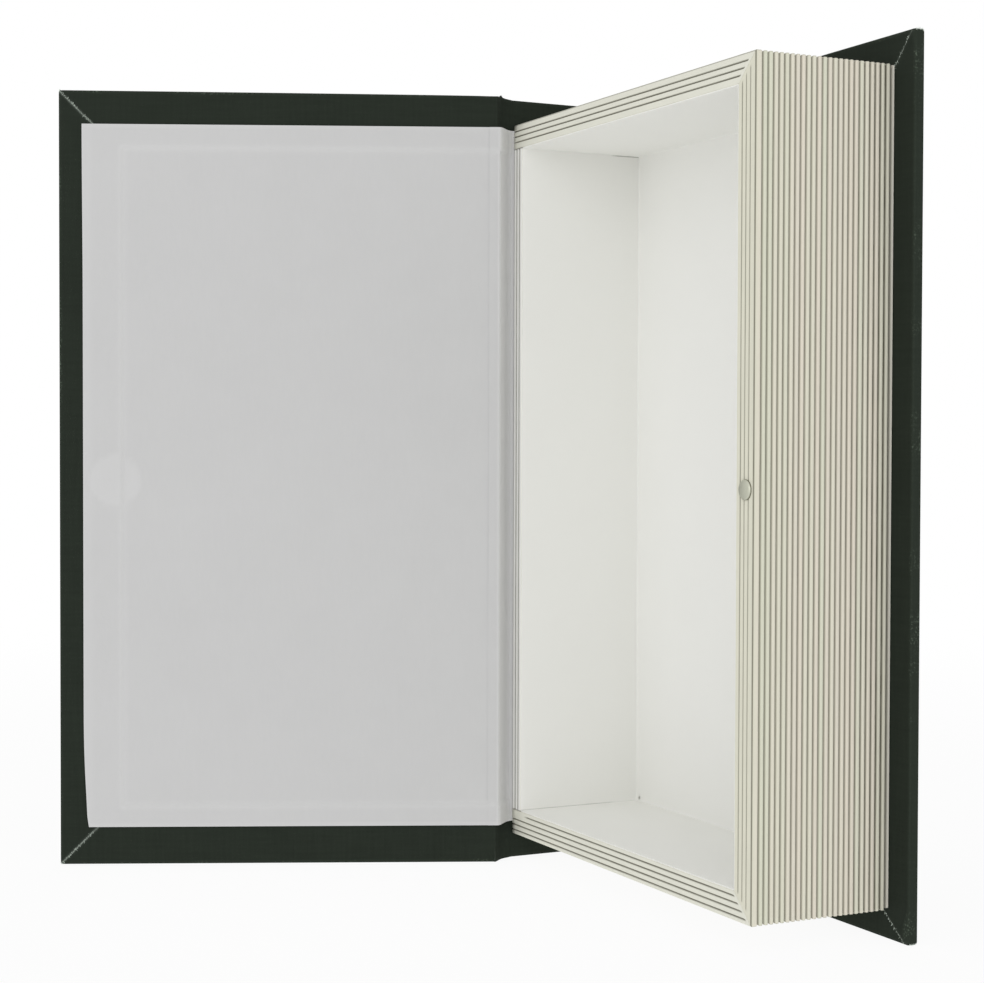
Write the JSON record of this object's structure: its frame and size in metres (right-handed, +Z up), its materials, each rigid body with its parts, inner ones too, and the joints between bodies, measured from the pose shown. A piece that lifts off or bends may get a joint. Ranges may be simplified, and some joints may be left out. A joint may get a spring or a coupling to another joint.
{
  "type": "decorative book box",
  "caption": "Storage box made like a hardback book: a cloth-covered case that opens on a cloth joint, and a tray whose grooved walls imitate the leaves, with a magnetic closure.",
  "frame": {"origin": "centre of the footprint on the surface that the open box stands on, at the tail edges of the covers", "axes": "+Z up along the spine from tail to head; +X from the spine to the fore edge of the tray; +Y from the mouth of the tray to the back cover"},
  "size_m": [0.223, 0.201, 0.27],
  "materials": {
    "book_cloth": "matte",
    "greyboard": "matte",
    "endpaper": "matte",
    "leaves": "satin",
    "lining": "matte",
    "magnet": "satin",
    "steel": "satin"
  },
  "bodies": {
    "box": {"back_board": "greyboard", "back_cloth": "book_cloth", "back_joint_cloth": "book_cloth", "spine_board": "greyboard", "spine_cloth": "book_cloth", "head_wall": "leaves", "tail_wall": "leaves", "fore_edge_wall": "leaves", "spine_wall": "leaves", "tray_base": "leaves", "floor_lining": "lining", "head_lining": "lining", "tail_lining": "lining", "fore_edge_lining": "lining", "spine_lining": "lining", "rim_magnet": "magnet"},
    "front_joint": {"front_joint_cloth": "book_cloth", "endpaper_joint": "endpaper"},
    "front_cover": {"front_board": "greyboard", "front_cloth": "book_cloth", "steel_disc": "steel", "endpaper": "endpaper"}
  },
  "joints": [
    {"name": "joint_fold_at_spine", "type": "hinge", "parent": "box", "child": "front_joint", "pos_m": [-0.05131, 0.04776, 0.135], "axis": [0, 0, -1], "range_deg": [-51.3, 29.7], "deforming": ["front_joint_cloth", "endpaper_joint"]},
    {"name": "front_cover_hinge", "type": "hinge", "parent": "front_joint", "child": "front_cover", "pos_m": [-0.04637, 0.03912, 0.135], "axis": [0, 0, -1], "range_deg": [-62.7, 36.3]}
  ],
  "couplings": [
    {"joint": "joint_fold_at_spine", "follows": "front_cover_hinge", "ratio": 0.81818}
  ]
}
